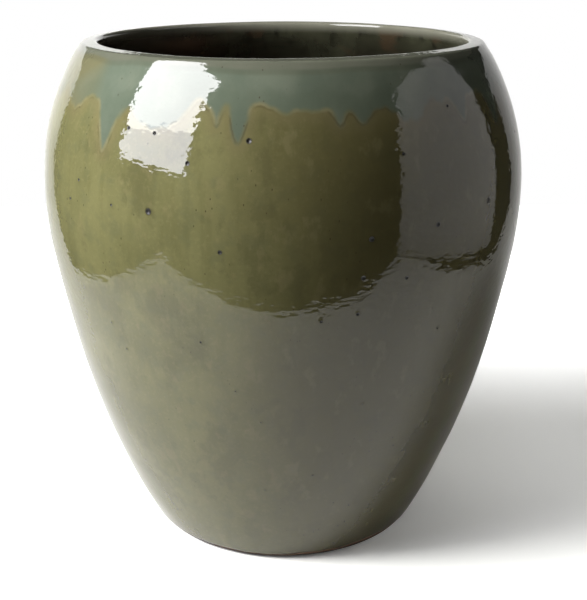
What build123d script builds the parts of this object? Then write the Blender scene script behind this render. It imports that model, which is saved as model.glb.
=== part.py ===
from build123d import *
from math import cos, radians, sin
import os

# A large glazed planter: a thrown clay body under three glaze coats, with a rubber plug in its drain hole.
# Frame: +Z up, origin on the floor at the centre of the foot, -Y is the side with the longest run of
# shoulder glaze a little to its left. All sizes are in millimetres.

# Driving dimensions of the finished pot, over the glaze
HEIGHT = 544.0
BELLY_RADIUS = 259.8
BELLY_HEIGHT = 380.0
FOOT_RADIUS = 150.0  # outer edge of the ring that rests on the floor
FOOT_HEIGHT = 5.0  # bare clay shows below this height
FOOT_ANGLE = 29.0  # outward lean of the wall where the glaze starts, from the vertical
SHOULDER_ANGLE = 37.7  # inward lean of the wall where it meets the lip

# The lip: a nearly flat top between two rounded edges
CREST_RADIUS = 199.1  # circle of the lip's highest line
INNER_EDGE_RADIUS = 4.1
TOP_WIDTH = 9.5
TOP_SLOPE = 5.7  # fall of the top towards the outside, in degrees
OUTER_EDGE_RADIUS = 5.3

# Wall thickness and glaze thicknesses
WALL = 17.0
WALL_FIRST = 0.12  # shares of the outside's length between which the wall is even
WALL_LAST = 0.90
WALL_STEPS = 6
OUTER_GLAZE = 1.0
SHOULDER_GLAZE = 0.5  # second coat, on top of the outer glaze
INNER_GLAZE = 0.8

# Heights where the coats end
SHOULDER_TOP = 537.0
SHOULDER_EDGE = 500.0  # the runs start from this height
INNER_GLAZE_EDGE = 436.0

# Base and drain
FLOOR_TOP = 20.0
FLOOR_EDGE_RADIUS = 146.5
FLOOR_FILLET = 24.0
RECESS_RADIUS = 119.0
RECESS_DEPTH = 4.0
DRAIN_RADIUS = 15.0

# Rubber plug
PLUG_GAP = 0.3  # drawn clearance to the clay all round
STEM_TIP_RADIUS = 13.2
STEM_BOTTOM = 7.0
FLANGE_RADIUS = 24.0
FLANGE_THICKNESS = 4.5
NECK_RADIUS = 6.0
NECK_HEIGHT = 7.0
KNOB_RADIUS = 11.0
KNOB_HEIGHT = 8.0

# Runs of the shoulder glaze: angle from the -Y side towards +X (degrees), width and drop below the edge
RUNS = [
    (-59, 40, 12), (-42, 34, 41), (-28, 44, 16), (-13.5, 18, 11), (-9.5, 22, 26), (1, 26, 4),
    (11.5, 22, 9), (17.5, 24, 8), (29, 36, 10), (44, 30, 22), (58, 26, 34), (73, 40, 14),
    (88, 24, 30), (103, 44, 12), (117, 26, 38), (134, 40, 16), (151, 26, 27), (167, 44, 10),
    (184, 28, 40), (201, 40, 14), (217, 24, 24), (232, 44, 12), (248, 26, 32), (262, 36, 12),
    (277, 24, 22), (289, 36, 8),
]  # fmt: skip


def at(centre, radius, angle):
    """The point of a circle at an angle above the horizontal, in degrees."""
    return (centre[0] + radius * cos(radians(angle)), centre[1] + radius * sin(radians(angle)))


def lip_centre():
    """The centre of the lip's rounded inner edge."""
    return (CREST_RADIUS, HEIGHT - INNER_EDGE_RADIUS)


def rim_centre():
    """The centre of the lip's rounded outer edge."""
    inner = at(lip_centre(), INNER_EDGE_RADIUS, 90 - TOP_SLOPE)
    outer = at(inner, TOP_WIDTH, -TOP_SLOPE)
    return at(outer, -OUTER_EDGE_RADIUS, 90 - TOP_SLOPE)


def outer_line():
    """The finished outside of the wall, from the foot to the lip, in the XZ half plane."""
    points = [
        (158.0, FOOT_HEIGHT),
        (183.8, 60.0),
        (219.4, 160.0),
        (247.3, 280.0),
        (BELLY_RADIUS, BELLY_HEIGHT),
        (253.2, 450.0),
        (233.8, 505.0),
        at(rim_centre(), OUTER_EDGE_RADIUS, SHOULDER_ANGLE),
    ]
    start = (sin(radians(FOOT_ANGLE)), cos(radians(FOOT_ANGLE)))
    end = (-sin(radians(SHOULDER_ANGLE)), cos(radians(SHOULDER_ANGLE)))
    return Spline(points, tangents=[start, end])


def lip_top(inset):
    """The lip's outer edge and top, from the end of the wall inwards, inset from the finished glaze."""
    radius = OUTER_EDGE_RADIUS - inset
    arc = ThreePointArc(
        at(rim_centre(), radius, SHOULDER_ANGLE),
        at(rim_centre(), radius, (SHOULDER_ANGLE + 90 - TOP_SLOPE) / 2),
        at(rim_centre(), radius, 90 - TOP_SLOPE),
    )
    return [arc, Line(arc @ 1, at(lip_centre(), INNER_EDGE_RADIUS - inset, 90 - TOP_SLOPE))]


def parallel(line, distance, first=0.0, last=1.0, count=28):
    """A line beside another one, moved to the left of its direction by distance."""
    points = []
    for step in range(count + 1):
        share = first + (last - first) * step / count
        point = line @ share
        along = line % share
        points.append((point.X - along.Y * distance, point.Y + along.X * distance))
    start = line % first
    end = line % last
    return Spline(points, tangents=[(start.X, start.Y), (end.X, end.Y)])


def turned(edges):
    """The solid of revolution of a closed outline about the pot's axis."""
    face = Plane.XZ * make_face(edges)
    return revolve(face, axis=Axis.Z)


def lip_edge(inset, crest_point):
    """The lip's inner edge, from its top round to the upright throat."""
    throat = at(lip_centre(), INNER_EDGE_RADIUS - inset, 180)
    return Spline([crest_point, throat], tangents=[at((0, 0), 1, 180 - TOP_SLOPE), (0, -1)])


def inner_line(throat, inset):
    """The inside of the wall, from the throat down to the pot's floor, inset from the clay."""
    wall = parallel(outer_line(), WALL + inset, WALL_FIRST, WALL_LAST, WALL_STEPS)
    points = [(throat.X, throat.Y)]
    for step in range(WALL_STEPS, -1, -1):
        point = wall @ (step / WALL_STEPS)
        points.append((point.X, point.Y))
    points.append((FLOOR_EDGE_RADIUS - inset, FLOOR_TOP))
    return Spline(points, tangents=[(0, -1), (-sin(radians(FOOT_ANGLE)), -cos(radians(FOOT_ANGLE)))])


def clay_outside():
    """The clay under the outer glaze."""
    return parallel(outer_line(), OUTER_GLAZE)


def clay_body():
    """The fired clay pot: wall, lip, base with a foot ring, and the drain hole."""
    outside = clay_outside()
    top = lip_top(OUTER_GLAZE)
    edge = lip_edge(INNER_GLAZE, top[-1] @ 1)
    inside = inner_line(edge @ 1, 0)
    foot = Spline(
        [(FOOT_RADIUS, 0), outside @ 0],
        tangents=[(1, 0.35), (sin(radians(FOOT_ANGLE)), cos(radians(FOOT_ANGLE)))],
    )
    outline = [
        Line((0, 0), (FOOT_RADIUS, 0)),
        foot,
        outside,
        *top,
        edge,
        inside,
        Line((FLOOR_EDGE_RADIUS, FLOOR_TOP), (0, FLOOR_TOP)),
        Line((0, FLOOR_TOP), (0, 0)),
    ]
    pot = turned(outline)
    floor_edges = [e for e in pot.edges() if abs(e.center().Z - FLOOR_TOP) < 0.01]
    corner = [e for e in floor_edges if e.length > FLOOR_EDGE_RADIUS]
    pot = fillet(corner, FLOOR_FILLET)
    pot -= Cylinder(RECESS_RADIUS, 2 * RECESS_DEPTH)
    pot -= Cylinder(DRAIN_RADIUS, 4 * FLOOR_TOP)
    return pot


def outer_glaze():
    """The olive coat over the whole outside, from just above the foot to the top of the lip."""
    glaze = outer_line()
    clay = clay_outside()
    glaze_top = lip_top(0)
    clay_top = lip_top(OUTER_GLAZE)
    crest = Line(glaze_top[-1] @ 1, clay_top[-1] @ 1)
    return turned([glaze, *glaze_top, crest, *clay_top, clay, Line(clay @ 0, glaze @ 0)])


def disc(radius, bottom, top):
    """A flat disc on the pot's axis between two heights."""
    return Pos(0, 0, bottom) * Cylinder(radius, top - bottom, align=(Align.CENTER, Align.CENTER, Align.MIN))


def run_cutter(angle, width, drop):
    """One tongue of the shoulder coat as a half-elliptic bar that points out through the wall."""
    out = Vector(sin(radians(angle)), -cos(radians(angle)), 0)
    across = (cos(radians(angle)), sin(radians(angle)), 0)
    start = out * (BELLY_RADIUS - 50) + Vector(0, 0, SHOULDER_EDGE)
    face = Plane(origin=start, x_dir=across, z_dir=out) * Ellipse(width / 2, drop)
    return extrude(face, amount=60)


def shoulder_glaze():
    """The second coat: a band round the shoulder with tongues that have run down from its edge."""
    under = outer_line()
    over = parallel(under, -SHOULDER_GLAZE)
    whole = turned([under, Line(under @ 1, over @ 1), over, Line(over @ 0, under @ 0)])
    coat = whole & disc(BELLY_RADIUS + 10, SHOULDER_EDGE, SHOULDER_TOP)
    below = whole & disc(BELLY_RADIUS + 10, SHOULDER_EDGE - 60, SHOULDER_EDGE)
    for angle, width, drop in RUNS:
        coat += below & run_cutter(angle, width, drop)
    return coat


def inner_glaze():
    """The coat over the lip's inner edge and down the inside, above the bare clay."""
    crest = lip_top(0)[-1] @ 1
    clay_crest = lip_top(OUTER_GLAZE)[-1] @ 1
    edge = lip_edge(0, crest)
    clay_edge = lip_edge(INNER_GLAZE, clay_crest)
    inside = inner_line(edge @ 1, INNER_GLAZE)
    clay_inside = inner_line(clay_edge @ 1, 0)
    bottom = Line(inside @ 1, clay_inside @ 1)
    whole = turned([edge, inside, bottom, clay_inside, clay_edge, Line(clay_crest, crest)])
    return whole & disc(BELLY_RADIUS, INNER_GLAZE_EDGE, HEIGHT)


def drain_plug():
    """The rubber plug: a tapered stem, a flange that lies on the pot's floor, and a knob to pull."""
    flange_bottom = FLOOR_TOP + PLUG_GAP
    flange_top = flange_bottom + FLANGE_THICKNESS
    knob_bottom = flange_top + NECK_HEIGHT
    knob_top = knob_bottom + KNOB_HEIGHT
    outline = Polyline(
        (0, STEM_BOTTOM),
        (STEM_TIP_RADIUS, STEM_BOTTOM),
        (DRAIN_RADIUS - PLUG_GAP, flange_bottom),
        (FLANGE_RADIUS, flange_bottom),
        (FLANGE_RADIUS, flange_top),
        (NECK_RADIUS, flange_top),
        (NECK_RADIUS, knob_bottom),
        (KNOB_RADIUS, knob_bottom),
        (KNOB_RADIUS, knob_top),
        (0, knob_top),
        close=True,
    )
    plug = turned([outline])
    circles = [e for e in plug.edges() if e.geom_type == GeomType.CIRCLE]
    rounded = [e for e in circles if abs(e.center().Z - flange_bottom) > 0.01]
    return fillet(rounded, 1.5)


def write(name, solid):
    """Write one node's solid under its own name."""
    solid.label = name
    export_step(solid, f"parts/{name}.step")


def main():
    os.makedirs("parts", exist_ok=True)
    write("clay_body", clay_body())
    write("outer_glaze", outer_glaze())
    write("shoulder_glaze", shoulder_glaze())
    write("inner_glaze", inner_glaze())
    write("drain_plug", drain_plug())


main()
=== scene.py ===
import math

import bpy
import numpy as np
from mathutils.kdtree import KDTree
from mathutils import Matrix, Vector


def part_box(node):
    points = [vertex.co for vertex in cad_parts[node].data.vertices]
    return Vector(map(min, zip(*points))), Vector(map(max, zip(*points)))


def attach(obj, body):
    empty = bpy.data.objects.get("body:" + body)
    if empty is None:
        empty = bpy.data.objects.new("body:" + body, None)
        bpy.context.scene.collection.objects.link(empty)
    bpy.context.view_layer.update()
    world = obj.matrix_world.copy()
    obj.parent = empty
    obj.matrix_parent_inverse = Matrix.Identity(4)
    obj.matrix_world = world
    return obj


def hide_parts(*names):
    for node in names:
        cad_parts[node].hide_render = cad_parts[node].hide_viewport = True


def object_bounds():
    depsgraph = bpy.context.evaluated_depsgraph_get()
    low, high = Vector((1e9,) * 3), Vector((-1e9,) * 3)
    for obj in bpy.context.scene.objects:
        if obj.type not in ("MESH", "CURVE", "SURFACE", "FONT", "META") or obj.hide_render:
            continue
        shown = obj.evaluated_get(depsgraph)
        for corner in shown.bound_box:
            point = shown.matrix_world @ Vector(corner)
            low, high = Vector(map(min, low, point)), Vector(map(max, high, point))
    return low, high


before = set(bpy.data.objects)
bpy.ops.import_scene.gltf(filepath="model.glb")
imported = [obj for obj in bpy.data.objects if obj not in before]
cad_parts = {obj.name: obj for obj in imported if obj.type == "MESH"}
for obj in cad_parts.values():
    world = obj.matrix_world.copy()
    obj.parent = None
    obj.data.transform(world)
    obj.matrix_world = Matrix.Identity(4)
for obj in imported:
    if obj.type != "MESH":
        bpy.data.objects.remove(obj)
cad_low, cad_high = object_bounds()

# ------------------------------------------------------------------ sizes, in metres, and angles, in degrees
# The height and the inner glaze's lower edge come from the frame. The rest repeats the CAD's driving sizes.
MM = 0.001
HEIGHT = cad_high.z
FOOT_RADIUS = 150 * MM
FOOT_HEIGHT = 5 * MM
FOOT_ANGLE = 29
SHOULDER_ANGLE = 37.7
CREST_RADIUS = 199.1 * MM
INNER_EDGE_RADIUS = 4.1 * MM
TOP_WIDTH = 9.5 * MM
TOP_SLOPE = 5.7
OUTER_EDGE_RADIUS = 5.3 * MM
WALL = 17 * MM
GLAZE = 1.0 * MM
COAT = 0.5 * MM
INNER_GLAZE = 0.8 * MM
FLOOR_TOP = 20 * MM
FLOOR_EDGE_RADIUS = 146.5 * MM
FLOOR_FILLET = 24 * MM
RECESS_RADIUS = 119 * MM
RECESS_DEPTH = 4 * MM
DRAIN_RADIUS = 15 * MM
INNER_GLAZE_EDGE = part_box("inner_glaze")[0].z
FLANGE_RADIUS = 24 * MM
# How far the coat stands over the glaze round it, and how deep a pinhole is.
COAT_RISE = 0.09 * MM
PIT_DEPTH = 0.8 * MM

# The finished wall's radius and height, from the foot to the lip's outer edge.
OUTLINE = [
    (158.0 * MM, FOOT_HEIGHT),
    (183.8 * MM, 60 * MM),
    (219.4 * MM, 160 * MM),
    (247.3 * MM, 280 * MM),
    (259.8 * MM, 380 * MM),
    (253.2 * MM, 450 * MM),
    (233.8 * MM, 505 * MM),
]

# The shoulder coat: its even lower edge, its upper edge, and its runs below the lower edge as (angle from the
# front towards +X, half width, drop in mm, point: 0.7 blunt, 1 round, 1.6 sharp).
COAT_EDGE = 504 * MM
COAT_TOP = 537 * MM
RUNS = [
    (-57, 11.0, 9, 1), (-42.2, 6.4, 44, 1.3), (-29, 11.0, 21, 0.7), (-14.2, 2.8, 15, 1.5),
    (-9.3, 3.9, 31, 1.4), (0.2, 3.0, 5, 1), (12.2, 3.4, 13, 1.6), (17.6, 3.6, 12, 1),
    (29, 6.0, 12, 1), (44, 5.0, 22, 1.3),
    (57.5, 5.0, 36, 1.5), (73, 7.0, 14, 1), (88, 4.0, 30, 1.4), (103, 7.0, 12, 1), (117, 4.4, 38, 1.5),
    (134, 6.5, 16, 1), (151, 4.4, 27, 1.3), (167, 7.0, 10, 1), (184, 4.6, 40, 1.6), (201, 6.5, 14, 1),
    (217, 4.2, 24, 1.3), (232, 7.0, 12, 1), (248, 4.4, 32, 1.5), (262, 6.0, 12, 1), (277, 4.0, 22, 1.3),
    (289, 6.0, 8, 1),
]  # fmt: skip

# The larger pinholes of the outer glaze: angle, and height and radius in mm.
PINHOLES = [
    (-6.8, 478, 1.9), (-28.2, 413, 2.1), (-12.8, 381, 1.4), (17.5, 389, 1.8), (16.1, 353, 1.6),
    (15.6, 317, 1.2), (-19.4, 458, 1.4), (-28.0, 481, 1.3), (-35.4, 482, 1.2), (39.3, 499, 1.1),
    (25.5, 464, 1.1), (-49.0, 430, 1.0), (-53.0, 405, 1.0), (-38.0, 414, 0.9), (49.5, 407, 1.8),
    (33.0, 396, 1.6), (26.0, 352, 1.3), (8.0, 312, 1.0),
]  # fmt: skip


# ------------------------------------------------------------------ lines and fields
def smooth_line(points, start, end, steps=120):
    """Points along the smooth cubic through the given ones, with these directions at its ends."""
    p = np.array(points, float)
    h = np.linalg.norm(np.diff(p, axis=0), axis=1)
    slope = np.diff(p, axis=0) / h[:, None]
    n = len(p)
    matrix = np.eye(n)
    right = np.zeros((n, 2))
    right[0] = np.array(start) / np.linalg.norm(start)
    right[-1] = np.array(end) / np.linalg.norm(end)
    for i in range(1, n - 1):
        before = h[i] / (h[i - 1] + h[i])
        matrix[i, i - 1 : i + 2] = (before, 2, 1 - before)
        right[i] = 3 * (before * slope[i - 1] + (1 - before) * slope[i])
    tangent = np.linalg.solve(matrix, right)
    t = np.linspace(0, 1, steps, endpoint=False)[:, None]
    rows = []
    for i in range(n - 1):
        rows.append(
            (2 * t**3 - 3 * t**2 + 1) * p[i]
            + (t**3 - 2 * t**2 + t) * h[i] * tangent[i]
            + (3 * t**2 - 2 * t**3) * p[i + 1]
            + (t**3 - t**2) * h[i] * tangent[i + 1]
        )
    return np.vstack(rows + [p[-1:]])


class Line:
    """A line in the (radius, height) half plane, read by its arc length s, with the normal on its right."""

    def __init__(self, points):
        self.p = np.array(points, float)
        self.s = np.concatenate([[0], np.cumsum(np.linalg.norm(np.diff(self.p, axis=0), axis=1))])
        along = np.gradient(self.p, self.s, axis=0)
        along /= np.linalg.norm(along, axis=1)[:, None]
        self.out = np.stack([along[:, 1], -along[:, 0]], 1)
        self.length = self.s[-1]

    def at(self, s):
        return np.stack([np.interp(s, self.s, self.p[:, k]) for k in (0, 1)], -1)

    def normal(self, s):
        return np.stack([np.interp(s, self.s, self.out[:, k]) for k in (0, 1)], -1)

    def at_height(self, z):
        """The arc length at a height, on a line whose height only rises or only falls."""
        order = 1 if self.p[-1, 1] > self.p[0, 1] else -1
        return np.interp(z, self.p[::order, 1], self.s[::order])

    def moved(self, distance):
        """The parallel line at this distance on the side of the normal."""
        return Line(self.p + self.out * distance)


def on_circle(centre, radius, degrees):
    turn = np.radians(degrees)
    return np.stack([centre[0] + radius * np.cos(turn), centre[1] + radius * np.sin(turn)], -1)


LIP_CENTRE = (CREST_RADIUS, HEIGHT - INNER_EDGE_RADIUS)
CREST = on_circle(LIP_CENTRE, INNER_EDGE_RADIUS, 90 - TOP_SLOPE)
RIM_CENTRE = on_circle(on_circle(CREST, TOP_WIDTH, -TOP_SLOPE), -OUTER_EDGE_RADIUS, 90 - TOP_SLOPE)


def wall_line():
    """The finished outside of the wall, from the foot to the lip."""
    end = on_circle(RIM_CENTRE, OUTER_EDGE_RADIUS, SHOULDER_ANGLE)
    lean, back = math.radians(FOOT_ANGLE), math.radians(SHOULDER_ANGLE)
    upwards, inwards = (math.sin(lean), math.cos(lean)), (-math.sin(back), math.cos(back))
    return Line(smooth_line(OUTLINE + [end], upwards, inwards))


def lip_points(inset):
    """The lip's outer edge, top and inner edge, inset from the finished glaze, down to the throat."""
    turn = np.linspace(SHOULDER_ANGLE, 90 - TOP_SLOPE, 60)
    corner = on_circle(RIM_CENTRE, OUTER_EDGE_RADIUS - inset, turn)
    edge = on_circle(LIP_CENTRE, INNER_EDGE_RADIUS - inset, np.linspace(90 - TOP_SLOPE, 180, 120))
    top = corner[-1] + (edge[0] - corner[-1]) * np.linspace(0, 1, 60)[1:-1, None]
    return np.vstack([corner, top]), edge


def inside_line(inset):
    """The inside, from the throat down the wall to the pot's floor, inset from the finished glaze."""
    parallel = WALL_LINE.moved(-(WALL + INNER_GLAZE - inset))
    throat = lip_points(inset)[1][-1]
    points = [tuple(throat)]
    points += [tuple(parallel.at(share * parallel.length)) for share in np.linspace(0.90, 0.12, 7)]
    points += [(FLOOR_EDGE_RADIUS - INNER_GLAZE + inset, FLOOR_TOP)]
    lean = math.radians(FOOT_ANGLE)
    return smooth_line(points, (0, -1), (-math.sin(lean), -math.cos(lean)))


def joined(*parts):
    return Line(np.vstack([part[:-1] for part in parts[:-1]] + [parts[-1]]))


WALL_LINE = wall_line()
# The finished surface from the foot over the lip to the throat, and from the lip's top down the inside.
OUTSIDE = joined(WALL_LINE.p, *lip_points(0))
INSIDE = joined(lip_points(0)[1], inside_line(0))
CLAY_OUTSIDE = joined(WALL_LINE.moved(-GLAZE).p, *lip_points(GLAZE))
CLAY_INSIDE = joined(lip_points(INNER_GLAZE)[1], inside_line(INNER_GLAZE))


def around(angle, radius, z):
    """Points of the pot: angle in radians from the front (-Y) towards +X."""
    return np.stack([radius * np.sin(angle), -radius * np.cos(angle), z + 0 * angle], -1)


def turned(angle, start):
    """The angle from start, between -pi and pi."""
    return np.angle(np.exp(1j * (angle - start)))


def waves(points, wavelength, count, seed, flatten=1.0):
    """A smooth random field of unit variance: plane waves about one wavelength long. With flatten above 1
    its swells are longer round the pot than up it."""
    rng = np.random.default_rng(seed)
    k = rng.normal(size=(count, 3))
    k /= np.linalg.norm(k, axis=1)[:, None]
    k *= 2 * np.pi / (wavelength * rng.uniform(0.75, 1.35, (count, 1)))
    k[:, :2] /= flatten
    phase = rng.uniform(0, 2 * np.pi, count)
    total = np.zeros(len(points))
    for i in range(count):
        total += np.cos(points @ k[i] + phase[i])
    return total * math.sqrt(2 / count)


def smoothstep(x):
    x = np.clip(x, 0, 1)
    return x * x * (3 - 2 * x)


def form(points):
    """How far the fired pot's walls are from true surfaces of revolution."""
    return MM * (0.30 * waves(points, 0.400, 12, 1) + 0.060 * waves(points, 0.110, 24, 2))


def glaze_relief(points):
    """The pot's form and the finer swells of the glaze on it."""
    return form(points) + MM * (
        0.060 * waves(points, 0.050, 40, 3, 1.5)
        + 0.028 * waves(points, 0.022, 60, 4, 2.0)
    )


def thrown_rings(points):
    """The rings that the potter's fingers leave inside, and the grain of the bare clay."""
    radius = np.hypot(points[:, 0], points[:, 1])
    turn = np.arctan2(points[:, 0], -points[:, 1])
    pitch = 13 * MM
    climb = (points[:, 2] - radius) / pitch * 2 * np.pi + turn
    depth = 0.6 + 0.4 * waves(points, 0.25, 10, 11)
    return MM * (
        0.22 * depth * np.cos(climb)
        + 0.10 * waves(points, 0.030, 40, 12, 3.0)
        + 0.04 * waves(points, 0.012, 60, 13)
    )


def coat_edge(angle):
    """Height of the shoulder coat's lower edge at each angle, in radians."""
    z = np.full(len(angle), COAT_EDGE)
    for centre, half_width, drop, point in RUNS:
        away = np.abs(turned(angle, math.radians(centre))) / math.radians(half_width)
        tongue = np.cos(np.clip(away, 0, 1) * np.pi / 2) ** (2 * point)
        z -= drop * MM * tongue / (1 + 0.6 * away * (point > 1))
    ring = around(angle, 0.235, 0.5)
    z += MM * (1.9 * waves(ring, 0.060, 16, 21) + 1.2 * waves(ring, 0.022, 24, 22))
    return z + MM * 0.75 * waves(ring, 0.009, 30, 23)


def coat_top(angle):
    """Height of the shoulder coat's upper edge."""
    ring = around(angle, 0.22, 0.5)
    return COAT_TOP - 1.2 * MM + MM * 1.0 * waves(ring, 0.08, 14, 24)


# ------------------------------------------------------------------ mesh building
# The distance from a pinhole, in its radii, of the points that belong to none.
NO_HOLE = 9.0


class Skin:
    """A closed piece turned about the pot's axis. It holds each point as its angle, its arc length on the
    line, its height over the line, its share of the relief and its distance from a pinhole, in radii."""

    def __init__(self, line, columns):
        self.line = line
        self.columns = columns
        self.angles = np.arange(columns) * 2 * np.pi / columns - np.pi
        self.parts = []
        self.count = 0
        self.bands = []
        self.quads = []
        self.triangles = []
        self.taken = set()

    def add(self, angle, s, height, share, hole=NO_HOLE):
        """Adds points and returns the index of the first."""
        first = self.count
        columns = np.broadcast_arrays(angle, s, height, share, hole)
        self.parts.append([np.array(column, float).ravel() for column in columns])
        self.count += columns[0].size
        return first

    def rows(self, s, height, share):
        """Adds rows of points, with s as rows by columns or by one, and returns each row's first index."""
        s = np.broadcast_to(s, (len(s), self.columns))
        first = self.add(self.angles[None, :], s, height, share)
        return [first + k * self.columns for k in range(len(s))]

    def close(self, rows):
        """Faces between every row and the next, and between the last and the first."""
        j = np.arange(self.columns)
        n = (j + 1) % self.columns
        for lower, upper in zip(rows, rows[1:] + rows[:1]):
            self.bands.append(np.stack([lower + j, lower + n, upper + n, upper + j], -1))

    def pinhole(self, grid, angle, s, radius):
        """Swaps the sixteen faces about the nearest point of the grid (arc lengths of the rows that were
        added first) for rings of sixteen points round a pit. Too near a border or a pit, it makes none."""
        i = int(np.abs(grid - s).argmin())
        j = int(np.abs(turned(self.angles, angle)).argmin())
        if not 4 < i < len(grid) - 5 or (i, j) in self.taken:
            return
        near = range(-4, 5)
        self.taken.update((i + a, (j + b) % self.columns) for a in near for b in near)
        for row in range(i - 2, i + 2):
            self.bands[row][(j + np.arange(-2, 2)) % self.columns] = -1
        circle = self.line.at(grid[i])[0]
        step = min(grid[i + 1] - grid[i], grid[i] - grid[i - 1], circle * 2 * np.pi / self.columns)
        radius = min(radius, 1.1 * step)
        radii = np.concatenate([[1.7 * step], np.linspace(1.4, 0.2, 7) * radius])[:, None]
        k = np.arange(16)
        n = (k + 1) % 16
        turn = k * np.pi / 8
        sideways, up = radii * np.cos(turn) / circle, radii * np.sin(turn)
        first = self.add(self.angles[j] + sideways, grid[i] + up, 0.0, 1.0, radii / radius)
        centre = self.add(self.angles[j], grid[i], 0.0, 1.0, 0.0)
        across = np.array([2, 2, 2, 1, 0, -1, -2, -2, -2, -2, -2, -1, 0, 1, 2, 2])
        outer = (i + np.roll(across, 4)) * self.columns + (j + across) % self.columns
        for ring in range(len(radii)):
            inner = first + ring * 16 + k
            self.quads.append(np.stack([outer, outer[n], inner[n], inner], -1))
            outer = inner
        self.triangles += [(int(inner[a]), int(inner[b]), centre) for a, b in zip(k, n)]

    def points(self, relief):
        """Where every point is, and its distance from a pinhole's centre in the pinhole's radii."""
        angle, s, height, share, hole = (np.concatenate(column) for column in zip(*self.parts))
        at = self.line.at(s)
        out = self.line.normal(s)
        rise = height + share * relief(around(angle, at[:, 0], at[:, 1]))
        lip = 0.10 * np.exp(-(((hole - 1.2) / 0.2) ** 2))
        rise += PIT_DEPTH * (lip - (1 - smoothstep(hole / 1.1)))
        at = at + out * rise[:, None]
        return around(angle, at[:, 0], at[:, 1]), angle, hole

    def faces(self):
        quads = np.concatenate(self.bands + self.quads)
        return quads[quads[:, 0] >= 0], np.array(self.triangles, int).reshape(-1, 3)


def mesh_object(name, points, quads, triangles, attributes, material, body, node, sharp=40):
    """A mesh object with one number per point and attribute, smooth but for edges over the sharp angle."""
    mesh = bpy.data.meshes.new(name)
    loops = np.concatenate([quads.ravel(), triangles.ravel()])
    used, loops = np.unique(loops, return_inverse=True)
    points = points[used]
    attributes = {key: values[used] for key, values in attributes.items()}
    loops = loops.astype(np.int32)
    starts = np.concatenate([np.arange(len(quads)) * 4, 4 * len(quads) + np.arange(len(triangles)) * 3])
    mesh.vertices.add(len(points))
    mesh.vertices.foreach_set("co", points.astype(np.float32).ravel())
    mesh.loops.add(len(loops))
    mesh.loops.foreach_set("vertex_index", loops)
    mesh.polygons.add(len(starts))
    mesh.polygons.foreach_set("loop_start", starts.astype(np.int32))
    mesh.update(calc_edges=True)
    mesh.validate()
    mesh.shade_smooth()
    mesh.set_sharp_from_angle(angle=math.radians(sharp))
    for key, values in attributes.items():
        layer = mesh.attributes.new(key, "FLOAT", "POINT")
        layer.data.foreach_set("value", np.asarray(values, np.float32))
    mesh.materials.append(material)
    obj = bpy.data.objects.new(name, mesh)
    bpy.context.collection.objects.link(obj)
    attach(obj, body)
    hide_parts(node)
    return obj


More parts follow.
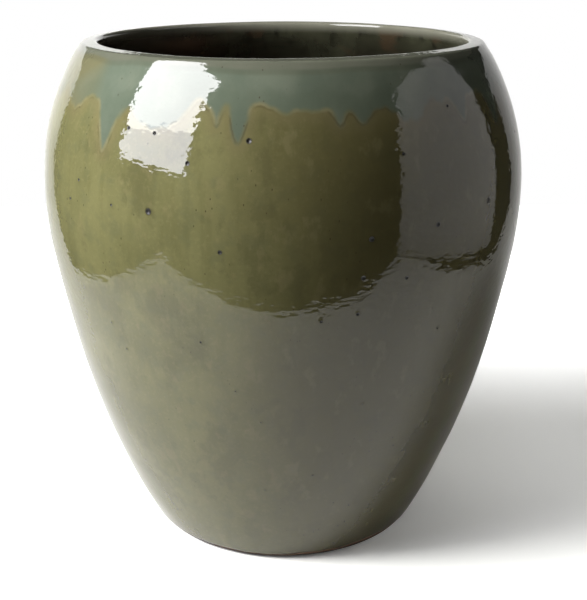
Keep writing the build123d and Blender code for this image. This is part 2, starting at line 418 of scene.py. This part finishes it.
# ------------------------------------------------------------------ materials
class Nodes:
    """Short calls for building a node tree."""

    def __init__(self, name):
        self.material = bpy.data.materials.new(name)
        self.material.use_nodes = True
        self.tree = self.material.node_tree
        self.tree.nodes.clear()
        self.place = self.node("ShaderNodeTexCoord").outputs["Object"]

    def node(self, kind, **settings):
        made = self.tree.nodes.new(kind)
        for key, value in settings.items():
            setattr(made, key, value)
        return made

    def set(self, socket, value):
        if isinstance(value, bpy.types.NodeSocket):
            self.tree.links.new(value, socket)
        elif isinstance(value, (tuple, list)) and len(value) == 3 and len(socket.default_value) == 4:
            socket.default_value = (*value, 1)
        else:
            socket.default_value = value

    def math(self, operation, a, b=0.0, clamp=False):
        made = self.node("ShaderNodeMath", operation=operation, use_clamp=clamp)
        self.set(made.inputs[0], a)
        self.set(made.inputs[1], b)
        return made.outputs[0]

    def times(self, a, b):
        return self.math("MULTIPLY", a, b)

    def plus(self, a, b):
        return self.math("ADD", a, b)

    def swing(self, noise, size):
        """A noise as a value to both sides of zero, size from its least to its greatest."""
        return self.times(self.math("SUBTRACT", noise, 0.5), size)

    def along(self, axis):
        """The object coordinate X, Y or Z."""
        made = self.node("ShaderNodeSeparateXYZ")
        self.set(made.inputs[0], self.place)
        return made.outputs[axis]

    def step(self, value, low, high):
        """0 below low, 1 above high, smooth between; low above high turns it round."""
        made = self.node("ShaderNodeMapRange", interpolation_type="SMOOTHSTEP")
        self.set(made.inputs["Value"], value)
        made.inputs["From Min"].default_value = low
        made.inputs["From Max"].default_value = high
        return made.outputs["Result"]

    def mix(self, factor, a, b):
        made = self.node("ShaderNodeMix", data_type="RGBA")
        self.set(made.inputs["Factor"], factor)
        self.set(made.inputs[6], a)
        self.set(made.inputs[7], b)
        return made.outputs[2]

    def stretched(self, x, y, z):
        made = self.node("ShaderNodeMapping")
        self.set(made.inputs["Vector"], self.place)
        made.inputs["Scale"].default_value = (x, y, z)
        return made.outputs["Vector"]

    def noise(self, scale, detail=3.0, where=None, roughness=0.5):
        made = self.node("ShaderNodeTexNoise")
        self.set(made.inputs["Vector"], where or self.place)
        made.inputs["Scale"].default_value = scale
        made.inputs["Detail"].default_value = detail
        made.inputs["Roughness"].default_value = roughness
        return made.outputs["Fac"]

    def spots(self, scale, size, where=None):
        """1 inside scattered round spots, 0 outside; size is against the spacing."""
        made = self.node("ShaderNodeTexVoronoi")
        self.set(made.inputs["Vector"], where or self.place)
        made.inputs["Scale"].default_value = scale
        return self.step(made.outputs["Distance"], size, size * 0.5)

    def attribute(self, key):
        return self.node("ShaderNodeAttribute", attribute_name=key).outputs["Fac"]

    def bump(self, height, distance, strength=1.0, normal=None):
        made = self.node("ShaderNodeBump")
        self.set(made.inputs["Height"], height)
        made.inputs["Distance"].default_value = distance
        made.inputs["Strength"].default_value = strength
        if normal is not None:
            self.set(made.inputs["Normal"], normal)
        return made.outputs["Normal"]

    def finish(self, color, roughness, ior=1.5, normal=None, **more):
        shader = self.node("ShaderNodeBsdfPrincipled")
        self.set(shader.inputs["Base Color"], color)
        self.set(shader.inputs["Roughness"], roughness)
        shader.inputs["IOR"].default_value = ior
        for key, value in more.items():
            shader.inputs[key.replace("_", " ")].default_value = value
        if normal is not None:
            self.set(shader.inputs["Normal"], normal)
        out = self.node("ShaderNodeOutputMaterial")
        self.tree.links.new(shader.outputs[0], out.inputs["Surface"])
        return self.material


GLAZE_IOR = 1.62


def outside_glaze(name):
    """Olive glaze, and the teal coat where edge is positive. Attributes: see outside_attributes."""
    m = Nodes(name)
    edge = m.plus(m.attribute("edge"), m.swing(m.noise(420, 2), 1.2))
    rim = m.attribute("rim")
    tan = m.attribute("tan")
    pit = m.attribute("pit")

    # the olive glaze: broad clouds, streaks down it, fine grain, and painted shade that turns the front's
    # right side darker and browner
    streaks = m.noise(90, 3, m.stretched(1, 1, 0.10))
    broad = m.noise(14, 3)
    fine = m.noise(260, 4)
    clouds = m.noise(42, 5, roughness=0.6)
    olive = m.mix(m.step(broad, 0.35, 0.68), (0.100, 0.097, 0.040), (0.128, 0.123, 0.052))
    olive = m.mix(m.times(m.step(streaks, 0.45, 0.75), 0.30), olive, (0.075, 0.070, 0.024))
    olive = m.mix(m.times(m.step(fine, 0.50, 0.70), 0.30), olive, (0.155, 0.145, 0.065))
    olive = m.mix(m.times(m.step(clouds, 0.50, 0.66), 0.35), olive, (0.085, 0.088, 0.044))
    # Painted shade: the front's right side is painted darker and browner.
    side = m.plus(m.along("X"), m.swing(m.noise(7, 3), 0.16))
    front = m.step(m.along("Y"), 0.10, -0.05)
    painted_shade_front_right = m.times(front, m.step(side, -0.10, 0.08))
    olive = m.mix(m.times(painted_shade_front_right, 0.65), olive, (0.066, 0.054, 0.018))
    veins = m.times(m.step(m.noise(24, 6, m.stretched(1, 1, 0.7), 0.65), 0.52, 0.62), 0.40)
    olive = m.mix(veins, olive, (0.066, 0.062, 0.026))
    pale = m.times(m.step(m.noise(55, 5, m.stretched(1, 1, 0.6), 0.6), 0.56, 0.68), 0.30)
    olive = m.mix(pale, olive, (0.160, 0.140, 0.068))
    olive = m.mix(m.times(m.step(edge, -16, 0), 0.45), olive, (0.118, 0.100, 0.048))

    # the teal coat, with an ochre line along its edge
    cloudy = m.step(m.noise(30, 4, m.stretched(1, 1, 0.5)), 0.35, 0.70)
    teal = m.mix(cloudy, (0.080, 0.098, 0.070), (0.106, 0.122, 0.088))
    deep = m.plus(edge, m.swing(m.noise(34, 3), 30))
    teal = m.mix(m.times(m.step(deep, 22, 12), 0.32), teal, (0.060, 0.078, 0.050))
    teal = m.mix(tan, teal, (0.104, 0.100, 0.053))
    ochre = m.mix(m.step(m.noise(70, 2), 0.35, 0.65), (0.112, 0.106, 0.045), (0.160, 0.142, 0.070))
    coat = m.mix(m.times(m.step(edge, 5.0, 0.5), 0.75), teal, ochre)

    # where they meet: a sharp line in places and a melted one elsewhere
    blurred = m.plus(edge, m.swing(m.noise(60, 4, m.stretched(1, 1, 0.4)), 9))
    sharp = m.step(m.noise(16, 2), 0.46, 0.56)
    melted = m.mix(m.step(blurred, -3.5, 3.5), olive, teal)
    color = m.mix(sharp, melted, m.mix(m.step(edge, -1.5, 1.5), olive, coat))
    # Painted shadow: a thin dark line just below the coat's raised lower edge.
    dark = m.times(m.step(edge, -2.6, -0.9), m.step(edge, 0.6, -0.4))
    dark = m.times(dark, m.step(m.noise(45, 2), 0.42, 0.62))
    color = m.mix(m.times(dark, 0.40), color, (0.045, 0.036, 0.016))
    # More painted shade, darkening the front's right side further.
    color = m.mix(m.times(painted_shade_front_right, 0.30), color, (0.016, 0.014, 0.006))
    color = m.mix(m.times(m.step(rim, -4.0, -0.5), 0.35), color, (0.052, 0.052, 0.032))
    lip = m.mix(m.noise(50, 3), (0.074, 0.080, 0.056), (0.098, 0.100, 0.074))
    color = m.mix(m.step(rim, 0.5, 3.5), color, lip)

    # specks, pinholes with painted shade in their hollows, and the ripple that only the reflections show
    specks = m.times(m.spots(150, 0.12, m.stretched(1, 1, 0.55)), m.step(m.noise(22, 2), 0.50, 0.60))
    color = m.mix(m.times(specks, 0.7), color, (0.030, 0.022, 0.010))
    color = m.mix(m.times(m.spots(330, 0.13), 0.4), color, (0.055, 0.042, 0.020))
    # Painted shade: the pinholes' hollows are painted nearly black.
    color = m.mix(pit, color, (0.008, 0.007, 0.004))
    ripple = m.noise(105, 1.5, m.stretched(1, 1, 1.8))
    higher = m.step(m.along("Z"), 0.20, 0.34)
    ripple = m.times(ripple, m.plus(0.35, m.times(higher, 0.7)))
    normal = m.bump(m.noise(330, 2), 0.00002, 1.0, m.bump(ripple, 0.00020))
    roughness = m.plus(0.035, m.times(pit, 0.45))
    return m.finish(color, roughness, GLAZE_IOR, normal)


def inside_glaze(name):
    """Nearly black glaze, with painted light that makes it lighter at the lip: the rim attribute is the
    distance from the lip's crest in mm.
    """
    m = Nodes(name)
    color = m.mix(m.step(m.noise(20, 3), 0.35, 0.70), (0.020, 0.020, 0.012), (0.036, 0.037, 0.022))
    color = m.mix(m.step(m.noise(110, 3, m.stretched(1, 1, 0.2)), 0.5, 0.8), color, (0.008, 0.008, 0.005))
    rust = m.times(m.step(m.noise(24, 4), 0.54, 0.66), 0.5)
    color = m.mix(rust, color, (0.045, 0.026, 0.014))
    # Painted light: the lip's glaze is painted lighter than the same glaze down the inside.
    lip = m.mix(m.noise(50, 3), (0.120, 0.120, 0.090), (0.155, 0.152, 0.118))
    color = m.mix(m.step(m.attribute("rim"), 17.0, 4.0), color, lip)
    return m.finish(color, 0.06, GLAZE_IOR, m.bump(m.noise(330, 2), 0.00006))


def fired_clay(name):
    """Terracotta, with painted shade that darkens it up the inside and under the foot."""
    m = Nodes(name)
    color = m.mix(m.step(m.noise(18, 4), 0.3, 0.7), (0.230, 0.115, 0.062), (0.310, 0.160, 0.090))
    color = m.mix(m.times(m.step(m.noise(700, 3), 0.50, 0.75), 0.5), color, (0.480, 0.290, 0.180))
    color = m.mix(m.times(m.spots(420, 0.16), 0.6), color, (0.120, 0.060, 0.035))
    # Painted shade: nearly black up the inside of the mouth, and a painted contact shadow under the foot.
    clay_painted_shade = m.plus(m.step(m.along("Z"), 0.10, 0.36), m.step(m.along("Z"), 0.012, 0.002))
    color = m.mix(m.times(clay_painted_shade, 0.95), color, (0.022, 0.018, 0.012))
    normal = m.bump(m.noise(1100, 3), 0.00012, 1.0, m.bump(m.noise(240, 3), 0.00030))
    return m.finish(color, 0.82, 1.5, normal)


def black_rubber(name):
    m = Nodes(name)
    color = m.mix(m.step(m.noise(60, 3), 0.35, 0.7), (0.018, 0.018, 0.019), (0.030, 0.030, 0.030))
    dust = m.times(m.step(m.noise(900, 3), 0.55, 0.75), 0.3)
    color = m.mix(dust, color, (0.10, 0.095, 0.088))
    return m.finish(color, 0.62, 1.5, m.bump(m.noise(1500, 2), 0.00005))


# ------------------------------------------------------------------ the pieces
def spaced(marks):
    """Arc lengths from mark to mark; marks are (arc length, spacing up to the next mark in mm)."""
    rows = []
    for (low, step), (high, _) in zip(marks, marks[1:]):
        rows.append(np.linspace(low, high, max(2, round((high - low) / step / MM)), endpoint=False))
    return np.concatenate(rows + [[marks[-1][0]]])


GLAZE_MATERIAL = outside_glaze("outer glaze")
COAT_MATERIAL = outside_glaze("shoulder glaze")
INNER_MATERIAL = inside_glaze("inner glaze")
CLAY_MATERIAL = fired_clay("fired clay")
RUBBER_MATERIAL = black_rubber("black rubber")


def coat_line():
    """A search tree of points all along the shoulder coat's lower edge."""
    angle = np.linspace(-np.pi, np.pi, 9000, endpoint=False)
    z = coat_edge(angle)
    points = around(angle, WALL_LINE.at(WALL_LINE.at_height(z))[:, 0], z)
    tree = KDTree(len(points))
    for k, p in enumerate(points):
        tree.insert(p, k)
    tree.balance()
    return tree


COAT_TREE = coat_line()


def outside_attributes(points, angle, hole):
    """edge: mm inside the shoulder coat. rim: mm over its upper edge. tan: where the coat is thin and tan.
    pit: 1 in a pinhole."""
    far = 30.0
    edge = np.full(len(points), -far)
    near = points[:, 2] > 440 * MM
    inside = np.where(points[:, 2] > coat_edge(angle), 1, -1)
    edge[near] = [min(far, COAT_TREE.find(p)[2] / MM) for p in points[near]]
    edge[near] *= inside[near]
    over = (points[:, 2] - coat_top(angle)) / MM
    # The coat is thin to the left of the front, and a little to the right of the back.
    degrees = np.degrees(angle)
    thin = smoothstep((-46 - degrees) / 7) * smoothstep((degrees + 112) / 14)
    thin += smoothstep((degrees - 95) / 10) * smoothstep((140 - degrees) / 10) * 0.7
    spread = 0.25 * waves(points, 0.07, 20, 31)
    tan = np.clip(thin * (0.9 + spread), 0, 1)
    return {"edge": edge, "rim": over, "tan": tan, "pit": smoothstep((1.5 - hole) / 0.6)}


def make_outer_glaze():
    """The olive glaze from the foot to the lip's top, with its pinholes. Its lower edge is uneven."""
    skin = Skin(OUTSIDE, columns=512)
    shoulder = WALL_LINE.length
    dense, even = WALL_LINE.at_height(448 * MM), WALL_LINE.at_height(510 * MM)
    corner = shoulder + OUTER_EDGE_RADIUS * math.radians(90 - TOP_SLOPE - SHOULDER_ANGLE)
    end = corner + TOP_WIDTH + 3 * MM
    marks = [(0, 1.8), (12 * MM, 5.2), (dense, 2.0), (even, 3.0), (shoulder - 3 * MM, 0.6)]
    marks += [(corner + 1.2 * MM, 1.6), (corner + TOP_WIDTH - 1.2 * MM, 0.6), (end, 0)]
    grid = spaced(marks)
    foot = around(skin.angles, 0.157, 0.005)
    start = MM * np.clip(1.6 + 0.9 * waves(foot, 0.06, 20, 42) + 0.5 * waves(foot, 0.02, 20, 43), 0.1, 4.5)
    s = grid[:, None] + start * (1 - smoothstep(grid / (14 * MM)))[:, None]
    bead = -0.85 * GLAZE * np.clip(1 - grid / (2.2 * MM), 0, 1)[:, None] ** 2
    outer = skin.rows(s, bead, 1.0)
    under = np.concatenate([np.linspace(end, shoulder - 4 * MM, 8), np.linspace(shoulder - 40 * MM, 0, 9)])
    under = skin.rows(start * 0.5 + under[:, None], -GLAZE, 1.0)
    skin.close(outer + under)
    rng = np.random.default_rng(41)
    holes = [(math.radians(degrees), z, 1.3 * radius) for degrees, z, radius in PINHOLES]
    holes += [(rng.uniform(0.95, 5.0), rng.uniform(300, 490), rng.uniform(0.7, 1.5)) for _ in range(34)]
    holes += [(rng.uniform(-1.1, 1.1), rng.uniform(60, 300), rng.uniform(0.5, 1.0)) for _ in range(10)]
    for angle, z, radius in holes:
        skin.pinhole(grid, angle, WALL_LINE.at_height(z * MM), radius * MM)
    points, angle, hole = skin.points(glaze_relief)
    attributes = outside_attributes(points, angle, hole)
    obj = mesh_object(
        "outer_glaze_visual", points, *skin.faces(), attributes, GLAZE_MATERIAL, "pot", "outer_glaze"
    )
    return obj


def make_shoulder_glaze():
    """The teal coat, with a bead along its lower edge."""
    skin = Skin(OUTSIDE, columns=1080)
    low = WALL_LINE.at_height(coat_edge(skin.angles))
    high = WALL_LINE.at_height(coat_top(skin.angles))
    share = np.linspace(0, 1, 56)[:, None]
    share = 0.5 * share + 0.5 * share**1.7
    s = low + (high - low) * share
    slope = np.gradient(low, skin.angles * 0.24)
    depth = (s - low) / np.sqrt(1 + slope**2)
    rise = COAT_RISE * (1.7 * smoothstep(depth / (4.5 * MM)) - 0.7) * smoothstep((high - s) / (5 * MM) + 0.25)
    thick = 0.5 + 0.5 * smoothstep(depth / (14 * MM))
    outer = skin.rows(s, rise * thick, 1.0)
    under_share = np.linspace(1, 0, 6)[:, None]
    under = skin.rows(low + (high - low) * under_share, -COAT * 0.9, 1.0)
    skin.close(outer + under)
    points, angle, hole = skin.points(glaze_relief)
    attributes = outside_attributes(points, angle, hole)
    obj = mesh_object(
        "shoulder_glaze_visual", points, *skin.faces(), attributes, COAT_MATERIAL, "pot", "shoulder_glaze"
    )
    return obj


def make_inner_glaze():
    """The dark glaze from the lip's crest down into the mouth, to an uneven edge."""
    skin = Skin(INSIDE, columns=540)
    ring = around(skin.angles, 0.21, 0.45)
    unevenness = 2.2 * waves(ring, 0.05, 16, 51) + 0.9 * waves(ring, 0.015, 20, 52)
    end_z = np.maximum(INNER_GLAZE_EDGE + MM * (4 + unevenness), INNER_GLAZE_EDGE + 0.2 * MM)
    throat = INNER_EDGE_RADIUS * math.radians(90 + TOP_SLOPE)
    end = INSIDE.at_height(end_z)
    start = 0.6 * MM + MM * 0.3 * waves(ring, 0.03, 20, 53)
    upper = start + (throat - start) * np.linspace(0, 1, 14, endpoint=False)[:, None]
    lower = throat + (end - throat) * np.linspace(0, 1, 46)[:, None] ** 1.2
    s = np.vstack([upper, lower])
    height = 0.10 * MM * (2 * smoothstep((s - start) / (2.0 * MM)) - 1) * smoothstep((end - s) / (3 * MM))
    back = start + (end - start) * np.linspace(1, 0, 14)[:, None]
    outer = skin.rows(s, height, 1.0)
    under = skin.rows(back, -INNER_GLAZE, 1.0)
    skin.close(outer + under)
    points = skin.points(glaze_relief)[0]
    rim = np.vstack([s, back]).ravel() / MM
    obj = mesh_object(
        "inner_glaze_visual", points, *skin.faces(), {"rim": rim}, INNER_MATERIAL, "pot", "inner_glaze"
    )
    return obj


def turned_piece(name, outline, columns, material, body, node, displace, sharp=40):
    """A closed piece turned from a closed outline of (radius, height), with the solid on its left."""
    p = np.array(outline)
    angle = np.arange(columns) * 2 * np.pi / columns - np.pi
    along = np.roll(p, -1, 0) - np.roll(p, 1, 0)
    out = np.stack([along[:, 1], -along[:, 0]], -1) / (np.linalg.norm(along, axis=1)[:, None] + 1e-12)
    r, z = p[:, :1], p[:, 1:]
    rise = displace(around(angle[None, :], r, z + 0 * angle))
    points = around(angle[None, :], r + out[:, :1] * rise, z + out[:, 1:] * rise).reshape(-1, 3)
    j = np.arange(columns)
    n = (j + 1) % columns
    quads = []
    for k in range(len(p)):
        low, high = k * columns, (k + 1) % len(p) * columns
        quads.append(np.stack([low + j, low + n, high + n, high + j], -1))
    quads = np.concatenate(quads)
    triangles = np.zeros((0, 3), int)
    return mesh_object(name, points, quads, triangles, {}, material, body, node, sharp)


def rounded(corners, spacing=6 * MM, steps=5):
    """An open outline through (radius, height, fillet radius) corners, with points on its straight parts."""
    c = np.array(corners, float)
    made = [c[0, :2]]
    for before, at, after in zip(c, c[1:], c[2:]):
        a, b = before[:2] - at[:2], after[:2] - at[:2]
        a, b = a / np.linalg.norm(a), b / np.linalg.norm(b)
        half = math.acos(np.clip(a @ b, -1, 1)) / 2
        reach = at[2] / math.tan(half)
        centre = at[:2] + (a + b) / np.linalg.norm(a + b) * at[2] / math.sin(half) if at[2] else at[:2]
        ends = [at[:2] + a * reach, at[:2] + b * reach]
        for t in np.linspace(0, 1, steps if at[2] else 1):
            q = ends[0] * (1 - t) + ends[1] * t - centre
            made.append(centre + q / (np.linalg.norm(q) + 1e-12) * at[2])
    made.append(c[-1, :2])
    filled = []
    for a, b in zip(made, made[1:]):
        count = max(1, round(np.linalg.norm(b - a) / spacing))
        filled += [a + (b - a) * k / count for k in range(count)]
    return filled + [made[-1]]


def make_clay_body():
    """The fired clay: foot, outside under the glaze, lip, thrown inside and floor with its drain."""
    base = rounded(
        [
            (DRAIN_RADIUS, FLOOR_TOP / 2, 0),
            (DRAIN_RADIUS, RECESS_DEPTH, 1.5 * MM),
            (RECESS_RADIUS, RECESS_DEPTH, 1.5 * MM),
            (RECESS_RADIUS, 0, 1.5 * MM),
            (FOOT_RADIUS, 0, 1.2 * MM),
            (FOOT_RADIUS + 4.0 * MM, 1.7 * MM, 1.5 * MM),
            (FOOT_RADIUS + 6.8 * MM, 5.2 * MM, 0),
        ]
    )
    outside = CLAY_OUTSIDE.p[8 : len(WALL_LINE.p) : 24]
    top = CLAY_OUTSIDE.p[len(WALL_LINE.p) :: 12]
    inside = CLAY_INSIDE.p[CLAY_INSIDE.p[:, 1] > FLOOR_TOP + 0.80 * FLOOR_FILLET][120::12]
    floor = rounded(
        [
            (*inside[-1], 0),
            (FLOOR_EDGE_RADIUS, FLOOR_TOP, FLOOR_FILLET * 0.7),
            (DRAIN_RADIUS, FLOOR_TOP, 1.5 * MM),
            (DRAIN_RADIUS, FLOOR_TOP / 2 + 1 * MM, 0),
        ],
        steps=9,
    )[1:]
    outline = np.vstack([base, outside, top, inside, floor])
    hidden = len(base) + len(outside) + len(top)
    bare = np.concatenate([np.zeros(hidden), np.ones(len(inside) + len(floor))])[:, None]
    # The rims of the clay's floor and its drain stay true, so that the plug sits on them.
    true = smoothstep((outline[:, 0] - FLANGE_RADIUS) / (15 * MM))
    true *= smoothstep(outline[:, 1] / (20 * MM) - 0.3)

    def displace(points):
        flat = points.reshape(-1, 3)
        shape = points.shape[:2]
        rings = thrown_rings(flat).reshape(shape) * bare
        return true[:, None] * (form(flat).reshape(shape) + rings)

    obj = turned_piece("clay_body_visual", outline, 360, CLAY_MATERIAL, "pot", "clay_body", displace)
    return obj


def make_drain_plug():
    """The rubber plug: a hollow-ended stem in the drain, a flange on the floor and a knob to pull."""
    low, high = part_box("drain_plug")
    flange = FLOOR_TOP + 0.3 * MM
    top = high.z
    outline = rounded(
        [
            (0.2 * MM, low.z + 1.5 * MM, 0),
            (8.5 * MM, low.z + 1.5 * MM, 0.7 * MM),
            (9.5 * MM, low.z, 0.5 * MM),
            (13.2 * MM, low.z, 1.2 * MM),
            (14.4 * MM, flange - 2.0 * MM, 0.3 * MM),
            (14.7 * MM, flange, 0.3 * MM),
            (FLANGE_RADIUS, flange, 0.7 * MM),
            (FLANGE_RADIUS, flange + 3.0 * MM, 1.2 * MM),
            (17.5 * MM, flange + 4.5 * MM, 0.8 * MM),
            (6.0 * MM, flange + 4.5 * MM, 1.6 * MM),
            (6.0 * MM, flange + 11.0 * MM, 1.4 * MM),
            (11.0 * MM, flange + 12.0 * MM, 1.6 * MM),
            (11.0 * MM, top, 1.6 * MM),
            (7.2 * MM, top, 0.8 * MM),
            (6.4 * MM, top - 1.6 * MM, 0.8 * MM),
            (0.2 * MM, top - 1.9 * MM, 0),
        ],
        spacing=2 * MM,
        steps=5,
    )

    def displace(points):
        return np.zeros(points.shape[:2])

    obj = turned_piece("drain_plug_visual", outline, 96, RUBBER_MATERIAL, "plug", "drain_plug", displace, 50)
    return obj


make_outer_glaze()
make_shoulder_glaze()
make_inner_glaze()
make_clay_body()
make_drain_plug()


# ------------------------------------------------------------------ the studio
# The camera sees none of the cards but the floor: they only light the pot and show in its glaze.
def plain(name, color):
    material = bpy.data.materials.new(name)
    material.use_nodes = True
    shader = material.node_tree.nodes["Principled BSDF"]
    shader.inputs["Base Color"].default_value = (*color, 1)
    shader.inputs["Roughness"].default_value = 0.9
    shader.inputs["Specular IOR Level"].default_value = 0.1
    return material


def glowing(name, color, strength):
    m = Nodes(name)
    glow = m.node("ShaderNodeEmission")
    glow.inputs["Color"].default_value = (*color, 1)
    glow.inputs["Strength"].default_value = strength
    out = m.node("ShaderNodeOutputMaterial")
    m.set(out.inputs["Surface"], glow.outputs[0])
    return m.material


def paper():
    """Paper that glows pure white towards the back, with painted light that lifts the pot's shadow on it a
    little everywhere and more towards the right.
    """
    m = Nodes("paper")
    diffuse = m.node("ShaderNodeBsdfDiffuse")
    diffuse.inputs["Color"].default_value = (1.10, 1.105, 1.05, 1)
    white = m.node("ShaderNodeEmission")
    back = m.step(m.along("Y"), 0.15, 0.62)
    # Painted light: a faint glow over all the paper, growing towards the right, that lightens the pot's cast
    # shadow.
    right = m.times(m.step(m.along("X"), 0.02, 0.42), 0.22)
    m.set(white.inputs["Strength"], m.plus(m.plus(back, 0.06), right))
    both = m.node("ShaderNodeAddShader")
    m.set(both.inputs[0], diffuse.outputs[0])
    m.set(both.inputs[1], white.outputs[0])
    out = m.node("ShaderNodeOutputMaterial")
    m.set(out.inputs["Surface"], both.outputs[0])
    return m.material


def card(name, corners, material, camera=False, others=True):
    """A flat stage card. camera: the camera sees it. others: light and reflections meet it."""
    mesh = bpy.data.meshes.new(name)
    mesh.from_pydata(corners, [], [tuple(range(len(corners)))])
    mesh.materials.append(material)
    obj = bpy.data.objects.new(name, mesh)
    bpy.context.collection.objects.link(obj)
    obj.visible_camera = camera
    obj.visible_diffuse = others
    obj.visible_glossy = others
    obj.visible_shadow = others
    obj.visible_transmission = others
    return obj


# The grey panel's front edge in X and Y, and how far it leans out of straight from there to the back.
PANEL_X, PANEL_Y, PANEL_LEAN = 0.917, -0.84, 0.168
SOFTBOX_AZIMUTH, SOFTBOX_DISTANCE = -56, 0.98


def panel_point(y, z):
    """A point of the grey panel to the right."""
    return (PANEL_X + (y - PANEL_Y) * PANEL_LEAN, y, z)


def softbox_point(azimuth, z):
    """A point of the softbox's front, a plane that faces the pot's axis."""
    turn = math.radians(azimuth)
    away = SOFTBOX_DISTANCE / math.cos(math.radians(azimuth - SOFTBOX_AZIMUTH))
    return (away * math.sin(turn), -away * math.cos(turn), z)


def softbox(name, corners, color, strength):
    corners = [softbox_point(*corner) for corner in corners]
    card(name, corners, glowing(name, color, strength)).visible_shadow = False


# The table's outline and, behind it, the backdrop.
LEFT, RIGHT, BACK, BACKDROP_TOP = -1.370, 1.400, 1.000, 0.82
TABLE = [
    (-0.865, 0.350), (-0.855, -0.450), (-0.900, -0.620), (-0.945, -0.760), (-0.800, -0.750),
    (-0.570, -0.695), (-0.300, -0.682), (0.300, -0.688), (0.450, -0.680), (0.640, -0.735), (0.905, -0.790),
    (0.900, -0.500), (0.890, -0.250), (0.925, 0.060), (0.957, 0.380), (RIGHT, BACK), (LEFT, BACK),
]  # fmt: skip
# The panel's outline as (y, z).
PANEL = [
    (-0.840, 0), (-0.840, 0.42), (-0.780, 0.80), (-0.650, 1.19), (-0.40, 1.29), (0.06, 1.345), (0.265, 1.345),
    (0.265, 0),
]  # fmt: skip
# The softbox's outline as (azimuth in degrees, z): the step between its bright top and its dimmer foot.
STEP = [(-73.4, 0.77), (-65.5, 0.807), (-55.0, 0.845), (-48.0, 0.86), (-39.5, 0.897)]
TOP = [
    (-37.5, 1.46), (-45.0, 1.62), (-54.0, 1.78), (-68.0, 2.05), (-86.0, 2.05), (-84.0, 1.45), (-78.0, 1.10),
    (-75.0, 0.88),
]  # fmt: skip
FOOT = [(-72.0, 0.585), (-39.8, 0.59)]

WHITE = plain("studio white", (0.745, 0.745, 0.725))
GREY = plain("studio grey", (0.45, 0.445, 0.435))
BACKDROP = [(LEFT, BACK, 0), (RIGHT, BACK, 0), (RIGHT, BACK, BACKDROP_TOP), (LEFT, BACK, BACKDROP_TOP)]
FLOOR = [(-1.4, -1.4, 0), (0.92, -1.4, 0), (0.92, 1.4, 0), (-1.4, 1.4, 0)]
card("table", [(x, y, -0.5 * MM) for x, y in TABLE], WHITE)
card("backdrop", BACKDROP, WHITE)
card("panel", [panel_point(*corner) for corner in PANEL], GREY)
card("floor", FLOOR, paper(), camera=True, others=False)
softbox("softbox top", STEP + TOP, (1.0, 0.99, 1.02), 11.8)
softbox("softbox foot", STEP[::-1] + FOOT, (0.98, 0.98, 1.12), 7.5)

# A second soft light from the left, which the glaze doesn't show.
KEY_AZIMUTH, KEY_RISE = -67, 39
KEY_DISTANCE = 2.4
KEY_TARGET_HEIGHT = 0.25
turn, rise = math.radians(KEY_AZIMUTH), math.radians(KEY_RISE)
key = bpy.data.lights.new("key", "AREA")
key.shape = "DISK"
key.size = 0.9
key.energy = 76
key_light = bpy.data.objects.new("key", key)
key_light.location = (
    KEY_DISTANCE * math.cos(rise) * math.sin(turn),
    -KEY_DISTANCE * math.cos(rise) * math.cos(turn),
    KEY_TARGET_HEIGHT + KEY_DISTANCE * math.sin(rise),
)
key_light.rotation_euler = (math.radians(90) - rise, 0, turn)
key_light.visible_glossy = False
bpy.context.collection.objects.link(key_light)

# A nearly dark room, pure white where the camera looks past the floor.
world = bpy.data.worlds.new("studio")
bpy.context.scene.world = world
world.use_nodes = True
tree = world.node_tree
tree.nodes.clear()
path = tree.nodes.new("ShaderNodeLightPath")
room = tree.nodes.new("ShaderNodeMix")
room.data_type = "RGBA"
room.inputs[6].default_value = (0.018, 0.018, 0.018, 1)
room.inputs[7].default_value = (1, 1, 1, 1)
background = tree.nodes.new("ShaderNodeBackground")
out = tree.nodes.new("ShaderNodeOutputWorld")
tree.links.new(path.outputs["Is Camera Ray"], room.inputs["Factor"])
tree.links.new(room.outputs[2], background.inputs["Color"])
tree.links.new(background.outputs[0], out.inputs["Surface"])

# The camera stands where the photo was taken from and looks down by its pitch.
CAMERA_PLACE = (0, -1.144, 0.6512)
CAMERA_PITCH, CAMERA_TURN = 19.50, -0.56
camera_data = bpy.data.cameras.new("camera")
camera_data.lens = 62.65
camera_data.sensor_width = 36
camera = bpy.data.objects.new("camera", camera_data)
camera.location = CAMERA_PLACE
camera.rotation_euler = (math.radians(90 - CAMERA_PITCH), 0, math.radians(CAMERA_TURN))
bpy.context.collection.objects.link(camera)
bpy.context.scene.camera = camera
bpy.context.scene.view_settings.view_transform = "Standard"
bpy.context.scene.view_settings.look = "None"
